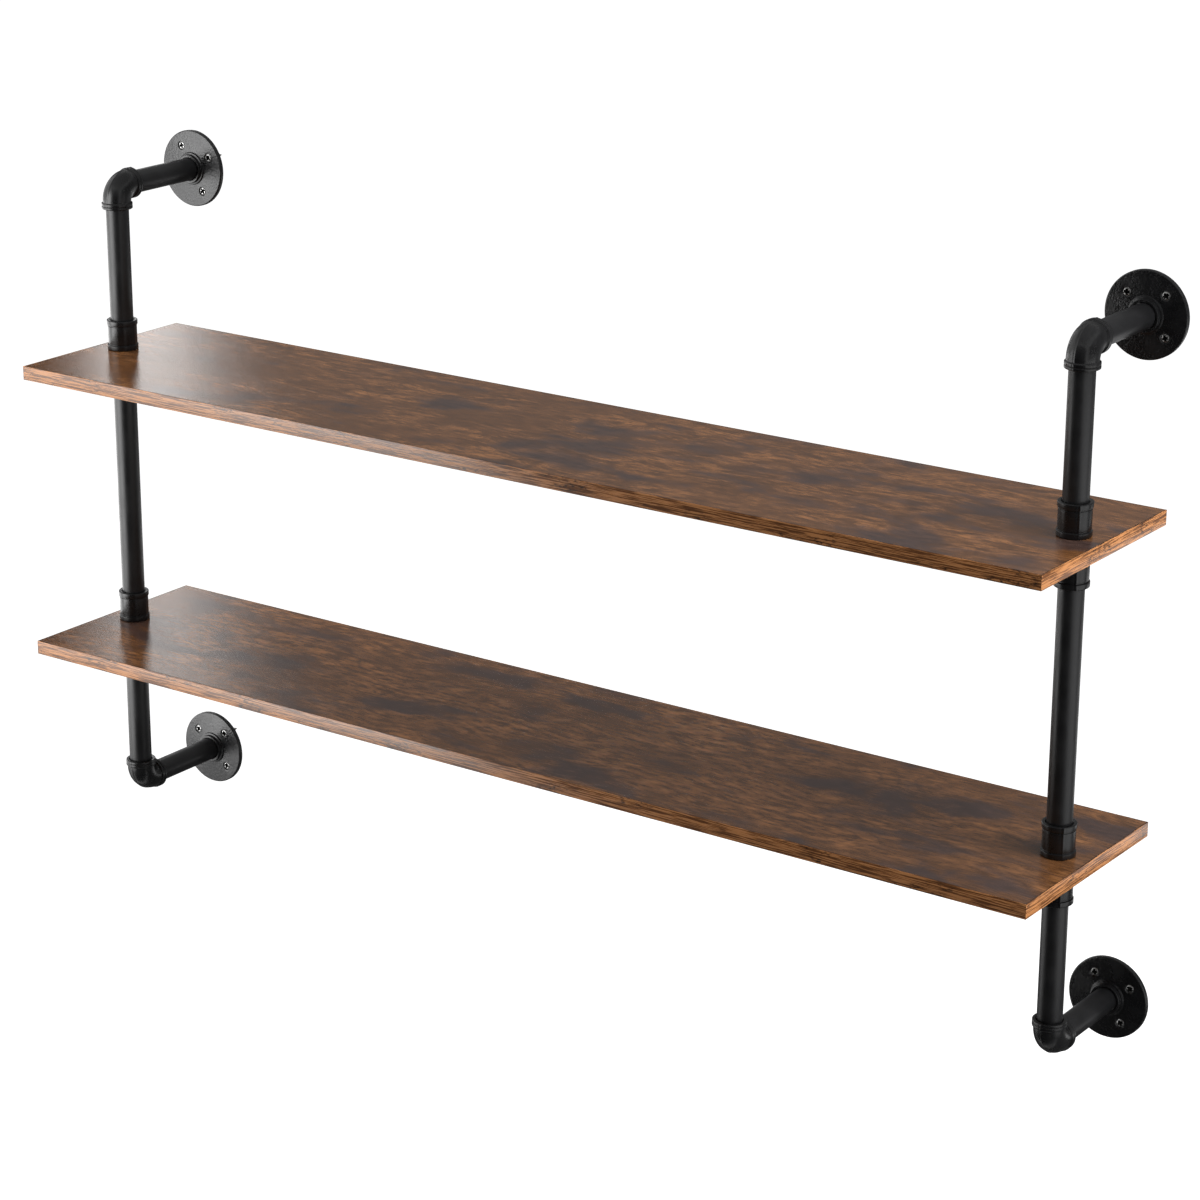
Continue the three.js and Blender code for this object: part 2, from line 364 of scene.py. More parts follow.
# Screws
# Countersunk wood screws of zinc-plated steel, four to a flange, with a cross recess in the head.
# The thread is rolled on the shank and runs out to a gimlet point.
SCREW_LENGTH = 25 * MM
SCREW_HEAD_RADIUS = 4.3 * MM
SCREW_HEAD_EDGE = 0.7 * MM
SCREW_HEAD_ROUNDING = 1.1 * MM
SCREW_HEAD_MIDDLE = 0.05 * MM
SCREW_HEAD_SINK = 0.6 * MM
SCREW_TOP = SCREW_HEAD_SINK - FLANGE_THICKNESS
SCREW_CORE_RADIUS = 1.45 * MM
SCREW_THREAD_RADIUS = 2.1 * MM
SCREW_THREAD_PITCH = 1.8 * MM
SCREW_CREST_SHARE = 0.22
SCREW_TIP_LENGTH = 5 * MM
SCREW_TIP_RADIUS = 0.02 * MM
SCREW_SIDES = 24
SCREW_STEPS = 110
RECESS_SPAN = 6.8 * MM
RECESS_SLOT = 3.0 * MM
RECESS_DEPTH = 2.4 * MM
RECESS_TOP_SHARE = 1.1
RECESS_FOOT_SHARE = 0.35
PUNCH_CLEARANCE = 0.5 * MM
STEEL_MARK_SIZE = 1.2 * MM
# The lumps that the recess's painted shade wanders in.
RECESS_SHADE_WANDER_SIZE = 0.8 * MM
SCREW_CREASE_DEGREES = 35
# Each screw stopped at its own turn. In degrees, that is a first turn, and a step from hole to hole
# and from flange to flange.
SCREW_FIRST_TURN = 23
SCREW_HOLE_STEP = 37
SCREW_FLANGE_STEP = 61


def screw_blank():
    """Head and threaded shank, on the Y axis with the point towards +Y."""
    neck = SCREW_TOP + SCREW_HEAD_EDGE + SCREW_HEAD_RADIUS - SCREW_CORE_RADIUS
    tip = SCREW_TOP + SCREW_LENGTH
    head = [(SCREW_HEAD_MIDDLE, SCREW_TOP)]
    for degrees in (0, 15, 30, 45, 60):
        bend = math.radians(degrees)
        head.append((
            SCREW_HEAD_RADIUS - SCREW_HEAD_ROUNDING * (1 - math.sin(bend)),
            SCREW_TOP + SCREW_HEAD_ROUNDING * (1 - math.cos(bend)),
        ))
    head.append((SCREW_HEAD_RADIUS, SCREW_TOP + SCREW_HEAD_EDGE))
    shape = bmesh.new()
    rings = []
    for radius, height in head:
        ring = [shape.verts.new(along_y(radius, height, angle)) for angle in even_angles(SCREW_SIDES)]
        rings.append(ring)
    for k in range(SCREW_STEPS + 1):
        height = neck + (tip - neck) * k / SCREW_STEPS
        taper = min(1.0, (tip - height) / SCREW_TIP_LENGTH)
        started = min(1.0, (height - neck) / SCREW_THREAD_PITCH)
        ring = []
        for angle in even_angles(SCREW_SIDES):
            phase = (height / SCREW_THREAD_PITCH - angle / (2 * math.pi)) % 1.0
            crest = max(0.0, 1 - abs(phase - 0.5) / SCREW_CREST_SHARE)
            rise = (SCREW_THREAD_RADIUS - SCREW_CORE_RADIUS) * crest * started
            radius = (SCREW_CORE_RADIUS + rise) * taper + SCREW_TIP_RADIUS
            ring.append(shape.verts.new(along_y(radius, height, angle)))
        rings.append(ring)
    join_rings(shape, rings)
    shape.faces.new(rings[0])
    shape.faces.new(rings[-1])
    return finished_mesh("screw_blank", shape)


def cross_punch():
    """The tapering cross that is punched into the head."""
    shape = bmesh.new()
    rings = []
    for height, share in (
        (SCREW_TOP - PUNCH_CLEARANCE, RECESS_TOP_SHARE),
        (SCREW_TOP + RECESS_DEPTH, RECESS_FOOT_SHARE),
    ):
        reach = RECESS_SPAN / 2 * share
        half = RECESS_SLOT / 2 * (0.5 + share / 2)
        ring = []
        for quarter in range(4):
            turn = Matrix.Rotation(quarter * math.pi / 2, 2)
            for corner in ((reach, -half), (reach, half), (half, half)):
                flat = turn @ Vector(corner)
                ring.append(shape.verts.new((flat.x, height, flat.y)))
        rings.append(ring)
    join_rings(shape, rings)
    shape.faces.new(rings[0])
    shape.faces.new(rings[1])
    # The punched walls take the second material, whose near black is painted shade in the recess.
    for face in shape.faces:
        face.material_index = 1
    return finished_mesh("cross_punch", shape)


screw_steel, steel_tree, steel_shader = new_material("zinc_screw_steel")
steel_point = add_node(steel_tree, "TexCoord").outputs["Object"]
steel_mark = stretched_noise(steel_tree, steel_point, [STEEL_MARK_SIZE] * 3, detail=3.0)
set_inputs(steel_tree, steel_shader, {
    "Base Color": blend_colours(
        steel_tree,
        ramp(steel_tree, steel_mark, 0.35, 0.7),
        linear(184, 184, 183),
        linear(212, 212, 210),
    ),
    "Roughness": ramp(steel_tree, steel_mark, *NOISE_RANGE, 0.4, 0.55),
    "Metallic": 1.0,
})

# The recess walls are painted near black with little gloss: painted shade of the deep cross, not a
# colour of the plated steel.
recess_painted_shade, recess_tree, recess_shader = new_material("punched_recess_painted_shade")
recess_point = add_node(recess_tree, "TexCoord").outputs["Object"]
recess_shade_wander = stretched_noise(recess_tree, recess_point, [RECESS_SHADE_WANDER_SIZE] * 3, detail=2.0)
set_inputs(recess_tree, recess_shader, {
    "Base Color": blend_colours(
        recess_tree,
        ramp(recess_tree, recess_shade_wander, 0.35, 0.7),
        linear(10, 10, 10),
        linear(24, 24, 23),
    ),
    "Roughness": 0.75,
    "Specular IOR Level": 0.05,
})


def steel_and_painted_shade(mesh):
    """Gives a mesh both of the head's materials, the plated steel and the painted shade of the recess.
    """
    mesh.materials.append(screw_steel)
    mesh.materials.append(recess_painted_shade)
    return mesh


punched_screw = cut_away(steel_and_painted_shade(screw_blank()), steel_and_painted_shade(cross_punch()))
for key_index, key in enumerate(FLANGE_TURNS):
    for k in range(BOLT_HOLES):
        mesh = punched_screw.copy()
        degrees = SCREW_FIRST_TURN + SCREW_HOLE_STEP * k + SCREW_FLANGE_STEP * key_index
        spin = Matrix.Rotation(math.radians(degrees), 4, "Y")
        mesh.transform(flange_frame(key) @ bolt_place(k) @ spin)
        mesh.set_sharp_from_angle(angle=math.radians(SCREW_CREASE_DEGREES))
        add_piece(f"wood_screw_{key}_{k + 1}", mesh, screw_steel, f"screw_{key}_{k + 1}")

# Pipes
# Arms, posts and the short nipples through the boards are three-quarter inch steel pipe, cut to length,
# deburred, threaded at both ends and coated. Their ends are hidden inside the fittings.
PIPE_RADIUS = 13.35 * MM
PIPE_WALL = 2.8 * MM
PIPE_SIDES = 96
PIPE_INNER_ROUNDING = 0.4 * MM
PIPE_OUTER_ROUNDING = 0.8 * MM

pipe_coat = coated_material(
    "black_pipe_coat",
    dark=linear(15, 15, 16),
    light=linear(22, 22, 23),
    roughness=(0.35, 0.44),
    grain=1.1 * MM,
    grain_height=0.3,
    peel_height=0.5,
    depth=0.06 * MM,
)


def pipe_outline(low, high):
    inside = PIPE_RADIUS - PIPE_WALL
    return rounded_outline([
        (inside, low, PIPE_INNER_ROUNDING),
        (PIPE_RADIUS, low, PIPE_OUTER_ROUNDING),
        (PIPE_RADIUS, high, PIPE_OUTER_ROUNDING),
        (inside, high, PIPE_INNER_ROUNDING),
    ])


def add_pipe(name, node):
    """A pipe on its node's axis: an arm points at the wall, and the others stand upright."""
    low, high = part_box(node)
    middle = (low + high) / 2
    if high.y - low.y > high.x - low.x + MM:

        def place(radius, height, angle):
            x = middle.x + radius * math.cos(angle)
            z = middle.z + radius * math.sin(angle)
            return Vector((x, height, z))

        outline = pipe_outline(low.y, high.y)
    else:

        def place(radius, height, angle):
            x = middle.x + radius * math.cos(angle)
            y = middle.y + radius * math.sin(angle)
            return Vector((x, y, height))

        outline = pipe_outline(low.z, high.z)
    mesh = turned_mesh(name, outline, even_angles(PIPE_SIDES), place)
    add_piece(name, mesh, pipe_coat, node)


for key in FLANGE_TURNS:
    add_pipe(f"pipe_arm_{key}", f"arm_{key}")
for side in ("left", "right"):
    for level in ("upper", "middle", "lower"):
        add_pipe(f"pipe_post_{level}_{side}", f"post_{level}_{side}")
    for level in ("upper", "lower"):
        add_pipe(f"pipe_nipple_{level}_{side}", f"through_nipple_{level}_{side}")

# Elbows
# Cast ninety degree elbows, coated black. A raised band strengthens each mouth, and the parting line
# of the mould stands as a thin ridge along the outside of the bend and over the bands.
FITTING_BORE = 13.6 * MM
FITTING_BODY_RADIUS = 16.4 * MM
FITTING_BAND_RADIUS = 17.9 * MM
FITTING_SIDES = 96
MOUTH_RADIUS = FITTING_BORE + 1.1 * MM
MOUTH_DEPTH = 1.2 * MM
OUTSIDE_RADIUS = FITTING_BORE + 1.2 * MM
ELBOW_BAND_WIDTH = 6.9 * MM
ELBOW_STRAIGHT = 8.5 * MM
ELBOW_BEND_RADIUS = 17.7 * MM
ELBOW_BEND_STEPS = 24
ELBOW_GROOVE_DEPTH = 0.75 * MM
ELBOW_GROOVE_HALF_WIDTH = 0.6 * MM
SEAM_HALF_ANGLE = 2.8 * MM / 2 / FITTING_BODY_RADIUS
SEAM_SLOPE_SHARE = 0.6
SEAM_SPREAD = math.radians(28)
ELBOW_SEAM = math.pi / 2
ELBOW_SEAM_RISE = 0.35 * MM
ELBOW_SEAM_CREST = 0.1 * MM

cast_coat = coated_material(
    "black_cast_coat",
    dark=linear(10, 10, 11),
    light=linear(17, 17, 18),
    roughness=(0.24, 0.33),
    grain=1.3 * MM,
    grain_height=0.8,
    peel_height=0.7,
    depth=0.09 * MM,
)


def apart(first, second):
    """The angle between two directions."""
    return abs((first - second + math.pi) % (2 * math.pi) - math.pi)


def seam_angles(seams):
    """Angles round a casting: even ones, and close ones at the sides of each seam."""
    clear = 1.2 * SEAM_HALF_ANGLE
    angles = [a for a in even_angles(FITTING_SIDES) if all(apart(a, seam) > clear for seam in seams)]
    for seam in seams:
        for share in (-1, -0.4, 0, 0.4, 1):
            angles.append((seam + share * SEAM_HALF_ANGLE) % (2 * math.pi))
    return sorted(angles)


def seam_rise(angle, seams, rise, crest):
    """How far a seam lifts the surface at an angle: a flat topped ridge on a slight swelling."""
    nearest = min(apart(angle, seam) for seam in seams)
    ridge = min(1.0, max(0.0, (1 - nearest / SEAM_HALF_ANGLE) / SEAM_SLOPE_SHARE))
    return rise * ridge + crest * max(0.0, 1 - nearest / SEAM_SPREAD)


def elbow_mouth():
    """The outside of a mouth from its open face inwards: two ribs with a groove between them."""
    crown = FITTING_BAND_RADIUS
    groove = ELBOW_BAND_WIDTH / 2
    return [
        (MOUTH_RADIUS, 0, 0.3 * MM),
        (crown, 0, 1.0 * MM),
        (crown, groove - ELBOW_GROOVE_HALF_WIDTH, 0.4 * MM),
        (crown - ELBOW_GROOVE_DEPTH, groove, 0.2 * MM),
        (crown, groove + ELBOW_GROOVE_HALF_WIDTH, 0.4 * MM),
        (crown, ELBOW_BAND_WIDTH, 0.7 * MM),
        (FITTING_BODY_RADIUS, ELBOW_BAND_WIDTH + 0.9 * MM, 0.7 * MM),
    ]


def flipped(corners, length):
    """A mouth's corners again, for the other end of a fitting."""
    return [(radius, length - height, rounding) for radius, height, rounding in reversed(corners)]


def add_elbow(name, node, key):
    """An elbow turned as a straight fitting and bent from its post round to its arm."""
    arc = ELBOW_BEND_RADIUS * math.pi / 2
    length = 2 * ELBOW_STRAIGHT + arc
    stations = [ELBOW_STRAIGHT + arc * k / ELBOW_BEND_STEPS for k in range(ELBOW_BEND_STEPS + 1)]
    mouth = elbow_mouth()
    outline = rounded_outline([
        *mouth,
        *[(FITTING_BODY_RADIUS, station, 0) for station in stations],
        *flipped(mouth, length),
        (FITTING_BORE, length - MOUTH_DEPTH, 0),
        *[(FITTING_BORE, station, 0) for station in reversed(stations)],
        (FITTING_BORE, MOUTH_DEPTH, 0),
    ])
    post = centre_of(f"post_{key}")
    arm = centre_of(f"arm_{key}")
    upward = 1 if key.startswith("upper") else -1

    def place(radius, height, angle):
        if radius > OUTSIDE_RADIUS:
            radius += seam_rise(angle, [ELBOW_SEAM], ELBOW_SEAM_RISE, ELBOW_SEAM_CREST)
        along = height - ELBOW_STRAIGHT
        turn = min(max(along, 0), arc) / ELBOW_BEND_RADIUS
        run = ELBOW_BEND_RADIUS + radius * math.sin(angle)
        x = radius * math.cos(angle)
        y = ELBOW_BEND_RADIUS - run * math.cos(turn) + max(along - arc, 0)
        z = -ELBOW_BEND_RADIUS + run * math.sin(turn) + min(along, 0)
        return Vector((post.x + x, post.y + y, arm.z + upward * z))

    mesh = turned_mesh(name, outline, seam_angles([ELBOW_SEAM]), place)
    add_piece(name, mesh, cast_coat, node)


for key in FLANGE_TURNS:
    add_elbow(f"cast_elbow_{key}", f"elbow_{key}", key)

# Couplings
# Banded cast couplings, coated black. One above and one below each board clamp it at both ends. Two
# mould seams run down opposite sides, over the bands too.
COUPLING_BAND_WIDTH = 5.6 * MM
COUPLING_BODY_RADIUS = 16.95 * MM
COUPLING_GROOVE_DEPTH = 0.6 * MM
COUPLING_GROOVE_WIDTH = 1.0 * MM
COUPLING_SEAM_RISE = 0.6 * MM
COUPLING_SEAM_CREST = 0.4 * MM
# Degrees from the +X direction to each side's first seam.
COUPLING_SEAM_TURNS = {"left": 5, "right": -48}


def coupling_mouth():
    """The outside of a mouth from its open face inwards: a band and a groove beside it."""
    groove_radius = COUPLING_BODY_RADIUS - COUPLING_GROOVE_DEPTH
    groove_start = COUPLING_BAND_WIDTH + 0.5 * MM
    groove_end = groove_start + COUPLING_GROOVE_WIDTH
    return [
        (MOUTH_RADIUS, 0, 0.3 * MM),
        (FITTING_BAND_RADIUS, 0, 0.9 * MM),
        (FITTING_BAND_RADIUS, COUPLING_BAND_WIDTH, 0.5 * MM),
        (groove_radius, groove_start, 0.2 * MM),
        (groove_radius, groove_end, 0.2 * MM),
        (COUPLING_BODY_RADIUS, groove_end + 0.3 * MM, 0.3 * MM),
    ]


def add_coupling(name, node, side):
    low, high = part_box(node)
    middle = (low + high) / 2
    length = high.z - low.z
    mouth = coupling_mouth()
    outline = rounded_outline([
        *mouth,
        *flipped(mouth, length),
        (FITTING_BORE, length - MOUTH_DEPTH, 0),
        (FITTING_BORE, MOUTH_DEPTH, 0),
    ])
    first = math.radians(COUPLING_SEAM_TURNS[side]) % (2 * math.pi)
    seams = [first, (first + math.pi) % (2 * math.pi)]

    def place(radius, height, angle):
        if radius > OUTSIDE_RADIUS:
            radius += seam_rise(angle, seams, COUPLING_SEAM_RISE, COUPLING_SEAM_CREST)
        x = middle.x + radius * math.cos(angle)
        y = middle.y + radius * math.sin(angle)
        return Vector((x, y, low.z + height))

    mesh = turned_mesh(name, outline, seam_angles(seams), place)
    add_piece(name, mesh, cast_coat, node)


for side in COUPLING_SEAM_TURNS:
    for level in ("upper", "lower"):
        for where in ("above", "below"):
            name = f"cast_coupling_{where}_{level}_{side}"
            add_coupling(name, f"coupling_{where}_{level}_shelf_{side}", side)

# Boards
# Chipboard, 16 mm thick, faced above and below with a printed rustic wood laminate. The print has
# broad dark clouds, warm streaks and fine pores, all drawn out along the board.
BOARD_EDGING = 0.5 * MM
GLUE_LINE = 0.8 * MM
BOARD_HOLE_RADIUS = 13.95 * MM
BOARD_HOLE_SIDES = 96
BOARD_PRINT_STARTS = {"upper": 0.0, "lower": 3.7}
SHORTEST_SIDE = 0.1
LEAST_FOLD = math.radians(60)

PRINT_BROWN = linear(87, 57, 34)
PRINT_TAN = linear(134, 90, 54)
PRINT_CLOUD = linear(53, 43, 43)
PRINT_RING = linear(62, 42, 32)
PRINT_PORE = linear(40, 29, 25)
SWAY_SIZE = (0.22, 0.09, 0.2)
SWAY_REACH = 0.05
CLOUD_SIZE = (0.11, 0.05, 0.2)
GROUP_SIZE = (0.42, 0.15, 0.4)
PATCH_SIZE = (0.16, 0.07, 0.3)
FLECK_SIZE = (0.025, 0.007, 0.05)
SCRATCH_SIZE = (0.03, 0.0007, 0.03)
SCRATCH_SLANT = math.radians(38)
RING_COUNT = 19.0

# The fine grain of a print is streaks of a given length and width, with pores that are finer.
grain_group, grain_in, grain_out = new_group(
    "printed_grain",
    [("Vector", "Vector", None), ("Length", "Float", 0.05), ("Width", "Float", 0.001)],
    [("Streaks", "Float"), ("Pores", "Float")],
)
grain_size = add_node(grain_group, "CombineXYZ", {
    0: grain_in["Length"],
    1: grain_in["Width"],
    2: grain_in["Width"],
}).outputs[0]
streak_point = add_node(grain_group, "VectorMath", {
    0: grain_in["Vector"],
    1: grain_size,
}, operation="DIVIDE").outputs[0]
pore_point = add_node(grain_group, "VectorMath", {
    0: streak_point,
    1: (2.6, 1.7, 1.7),
}, operation="MULTIPLY").outputs[0]
grain_streaks = add_node(grain_group, "TexNoise", {
    "Vector": streak_point,
    "Scale": 1.0,
    "Detail": 4.0,
    "Roughness": 0.62,
}).outputs["Fac"]
grain_pores = add_node(grain_group, "TexNoise", {
    "Vector": pore_point,
    "Scale": 1.0,
    "Detail": 2.0,
    "Roughness": 0.5,
}).outputs["Fac"]
set_inputs(grain_group, grain_out, {
    "Streaks": grain_streaks,
    "Pores": ramp(grain_group, grain_pores, 0.64, 0.74),
})

# The whole print sways a little across the board, so that no streak runs dead straight.
board_face, face_tree, face_shader = new_material("rustic_laminate_face")
face_flat = add_node(face_tree, "TexCoord").outputs["Object"]
face_bend = stretched_noise(face_tree, face_flat, SWAY_SIZE, 2.0)
face_sway = maths(face_tree, "MULTIPLY", face_bend, SWAY_REACH)
face_point = add_node(face_tree, "VectorMath", {
    0: face_flat,
    1: add_node(face_tree, "CombineXYZ", {"Y": face_sway}).outputs[0],
}, operation="ADD").outputs[0]
face_grain = place_group(face_tree, grain_group, {
    "Vector": face_point,
    "Length": 0.028,
    "Width": 0.001,
}).outputs
face_cloud = stretched_noise(face_tree, face_point, CLOUD_SIZE, 7.0, roughness=0.57, distortion=0.2)
face_group = stretched_noise(face_tree, face_point, GROUP_SIZE, 2.0)
face_fleck = stretched_noise(face_tree, face_point, FLECK_SIZE, 6.0, roughness=0.64)
face_patch = stretched_noise(face_tree, face_flat, PATCH_SIZE, 4.0, roughness=0.6)

# Warm streaks lie in patches on the plain brown.
face_warm = maths(
    face_tree,
    "MULTIPLY",
    ramp(face_tree, face_fleck, 0.36, 0.72),
    ramp(face_tree, face_patch, 0.34, 0.62),
)
face_colour = blend_colours(face_tree, face_warm, PRINT_BROWN, PRINT_TAN)

# Dark clouds stand in groups, their borders broken up by the flecks.
face_ragged = maths(
    face_tree,
    "ADD",
    maths(face_tree, "ADD", face_cloud, maths(face_tree, "MULTIPLY", face_fleck, 0.3)),
    maths(face_tree, "MULTIPLY", face_group, 0.3),
)
face_dark = maths(face_tree, "MULTIPLY", ramp(face_tree, face_ragged, 0.79, 0.97), 0.84)
face_colour = blend_colours(face_tree, face_dark, face_colour, PRINT_CLOUD)

# Faint growth rings follow the borders of the groups.
face_rings = maths(face_tree, "PINGPONG", maths(face_tree, "MULTIPLY", face_group, RING_COUNT), 0.5)
face_ring_line = maths(
    face_tree,
    "MULTIPLY",
    ramp(face_tree, face_rings, 0.0, 0.2, 1.0, 0.0),
    ramp(face_tree, face_patch, 0.42, 0.62, 0.0, 0.4),
)
face_colour = blend_colours(face_tree, face_ring_line, face_colour, PRINT_RING)

# The grain makes all of it lighter and darker, and the pores are dark dots in it.
face_streaks = face_grain["Streaks"]
face_shade = add_node(face_tree, "MapRange", {
    "Value": maths(face_tree, "ADD", face_streaks, maths(face_tree, "MULTIPLY", face_fleck, 0.5)),
    "From Min": 0.52,
    "From Max": 0.98,
    "To Min": 0.5,
    "To Max": 1.58,
}).outputs["Result"]
face_colour = add_node(face_tree, "VectorMath", {
    0: face_colour,
    "Scale": face_shade,
}, operation="SCALE").outputs[0]
face_pores = maths(face_tree, "MULTIPLY", face_grain["Pores"], 0.5)
face_colour = blend_colours(face_tree, face_pores, face_colour, PRINT_PORE)

# The surface is pressed with the grain and has fine scratches across it.
face_slant = add_node(face_tree, "VectorRotate", {
    "Vector": face_flat,
    "Angle": SCRATCH_SLANT,
}, rotation_type="Z_AXIS").outputs[0]
face_scratch = stretched_noise(face_tree, face_slant, SCRATCH_SIZE, 3.0)
face_bump = add_node(face_tree, "Bump", {
    "Height": maths(face_tree, "ADD", face_streaks, maths(face_tree, "MULTIPLY", face_scratch, 0.5)),
    "Strength": 0.7,
    "Distance": 0.16 * MM,
})
set_inputs(face_tree, face_shader, {
    "Base Color": face_colour,
    "Roughness": ramp(face_tree, face_streaks, *NOISE_RANGE, 0.14, 0.21),
    "Normal": face_bump.outputs["Normal"],
})

# The glue shows as a thin dark line between each face and the edging.
glue_line, glue_tree, glue_shader = new_material("dark_glue_line")
glue_streaks = place_group(glue_tree, grain_group, {
    "Vector": add_node(glue_tree, "TexCoord").outputs["Object"],
    "Length": 0.012,
    "Width": 0.0008,
}).outputs["Streaks"]
set_inputs(glue_tree, glue_shader, {
    "Base Color": blend_colours(
        glue_tree,
        ramp(glue_tree, glue_streaks, 0.4, 0.6),
        linear(24, 17, 13),
        linear(48, 34, 26),
    ),
    "Roughness": 0.7,
})


def is_rim(edge):
    """Whether an edge runs along a side of the board, and not round a hole or across a face."""
    return edge.calc_length() > SHORTEST_SIDE and edge.calc_face_angle(0.0) > LEAST_FOLD


def board_mesh(name, low, high, holes, shift):
    """A flat board with round holes, its mesh moved along the print by shift."""
    loops = [[(low.x, low.y), (high.x, low.y), (high.x, high.y), (low.x, high.y)]]
    for hole in holes:
        loop = []
        for angle in even_angles(BOARD_HOLE_SIDES):
            x = hole.x + BOARD_HOLE_RADIUS * math.cos(angle)
            y = hole.y + BOARD_HOLE_RADIUS * math.sin(angle)
            loop.append((x, y))
        loops.append(loop)
    shape = bmesh.new()
    top_edges = []
    for loop in loops:
        ring = [shape.verts.new((x + shift, y, high.z)) for x, y in loop]
        top_edges += [shape.edges.new((a, b)) for a, b in zip(ring, ring[1:] + ring[:1])]
    bmesh.ops.triangle_fill(shape, edges=top_edges, use_beauty=True, use_dissolve=False)
    lowered = bmesh.ops.extrude_face_region(shape, geom=list(shape.faces))
    for part in lowered["geom"]:
        if isinstance(part, bmesh.types.BMVert):
            part.co.z = low.z
    trimmed = bmesh.ops.bevel(
        shape,
        geom=[edge for edge in shape.edges if is_rim(edge)],
        offset=GLUE_LINE,
        segments=1,
        affect="EDGES",
        profile=0.5,
    )
    for face in shape.faces:
        face.material_index = 0
    for face in trimmed["faces"]:
        face.material_index = 1
    return finished_mesh(name, shape, crease=30)


def add_board(level):
    """A board with its glue line. Each board takes its own stretch of the print."""
    name = f"board_{level}"
    node = f"shelf_{level}"
    low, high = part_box(node)
    inset = Vector((BOARD_EDGING, BOARD_EDGING, 0))
    holes = [centre_of(f"through_nipple_{level}_{side}") for side in ("left", "right")]
    start = BOARD_PRINT_STARTS[level]
    mesh = board_mesh(name, low + inset, high - inset, holes, start)
    mesh.materials.append(board_face)
    mesh.materials.append(glue_line)
    board = put_in_scene(name, mesh)
    board.location.x = -start
    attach(board, "root")
    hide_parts(node)


for level in BOARD_PRINT_STARTS:
    add_board(level)

# Edging
# A half millimetre strip of plain brown edging is glued round each board: the long strips first,
# then the ends over them. Its print is fine straight lines with a few dark knots.
EDGING_BROWN = linear(90, 55, 29)
EDGING_TAN = linear(168, 113, 67)
EDGING_KNOT = linear(46, 29, 18)
EDGING_PORE = linear(58, 34, 18)
EDGING_KNOT_SIZE = (0.01, 0.003, 0.003)
EDGING_PATCH_SIZE = (0.075, 0.03, 0.03)
EDGING_ROUNDING = 0.3 * MM
EDGING_STRIP_STEP = 1.7
EDGING_BOARD_STEP = 8.1

edging_print, edge_tree, edge_shader = new_material("brown_edging_print")
edge_point = add_node(edge_tree, "TexCoord").outputs["Object"]
edge_grain = place_group(edge_tree, grain_group, {
    "Vector": edge_point,
    "Length": 0.05,
    "Width": 0.0013,
}).outputs
edge_streaks = edge_grain["Streaks"]
edge_lines = ramp(edge_tree, edge_streaks, 0.46, 0.54)
edge_knots = stretched_noise(edge_tree, edge_point, EDGING_KNOT_SIZE, 5.0, roughness=0.7, distortion=0.5)
edge_patch = stretched_noise(edge_tree, edge_point, EDGING_PATCH_SIZE, 2.0)
edge_knotty = maths(
    edge_tree,
    "MULTIPLY",
    ramp(edge_tree, edge_knots, 0.5, 0.62),
    ramp(edge_tree, edge_patch, 0.53, 0.6),
)
edge_pores = maths(edge_tree, "MULTIPLY", edge_grain["Pores"], 0.8)
edge_colour = blend_colours(edge_tree, edge_lines, EDGING_BROWN, EDGING_TAN)
edge_colour = blend_colours(edge_tree, edge_knotty, edge_colour, EDGING_KNOT)
edge_colour = blend_colours(edge_tree, edge_pores, edge_colour, EDGING_PORE)
edge_bump = add_node(edge_tree, "Bump", {"Height": edge_streaks, "Strength": 0.5, "Distance": 0.06 * MM})
set_inputs(edge_tree, edge_shader, {
    "Base Color": edge_colour,
    "Roughness": ramp(edge_tree, edge_streaks, *NOISE_RANGE, 0.22, 0.31),
    "Specular IOR Level": 0.55,
    "Normal": edge_bump.outputs["Normal"],
})


def add_edging(name, place, length, height, start):
    """One strip: along its own X, height along Z, its face on its own -Y side."""
    low = Vector((start - length / 2, 0, -height / 2))
    high = Vector((start + length / 2, BOARD_EDGING, height / 2))
    shape = bmesh.new()
    bmesh.ops.create_cube(shape, size=1)
    for vert in shape.verts:
        vert.co = Vector((a if s < 0 else b for a, b, s in zip(low, high, vert.co)))
    bmesh.ops.bevel(
        shape,
        geom=[e for e in shape.edges if all(v.co.y < BOARD_EDGING / 2 for v in e.verts)],
        offset=EDGING_ROUNDING,
        segments=3,
        affect="EDGES",
        profile=0.5,
    )
    mesh = finished_mesh(name, shape, crease=50)
    mesh.materials.append(edging_print)
    strip = put_in_scene(name, mesh)
    strip.matrix_world = place @ Matrix.Translation((-start, 0, 0))
    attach(strip, "root")


for level_index, level in enumerate(BOARD_PRINT_STARTS):
    low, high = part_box(f"shelf_{level}")
    middle = (low + high) / 2
    size = high - low
    strips = {
        "front": (0, Vector((middle.x, low.y, middle.z)), size.x - 2 * BOARD_EDGING),
        "right": (90, Vector((high.x, middle.y, middle.z)), size.y),
        "back": (180, Vector((middle.x, high.y, middle.z)), size.x - 2 * BOARD_EDGING),
        "left": (270, Vector((low.x, middle.y, middle.z)), size.y),
    }
    for strip_index, (where, (turn, spot, length)) in enumerate(strips.items()):
        place = Matrix.Translation(spot) @ Matrix.Rotation(math.radians(turn), 4, "Z")
        start = EDGING_STRIP_STEP * strip_index + EDGING_BOARD_STEP * level_index
        add_edging(f"edging_{level}_{where}", place, length, size.z, start)

# Studio
# A plain pale floor under the unit, soft boxes to both sides, behind and overhead, fills that light
# only matt surfaces, and dark flags that only reflections see, as a product photographer sets them.
FLOOR_DROP = 1.45
FLOOR_REACH = 40
FLOOR_GLOW = 0.86
FLOOR_GREY = 0.7
WORLD_LEVEL = 0.31
KEY_SPREAD = 80
FULL_SPREAD = 180

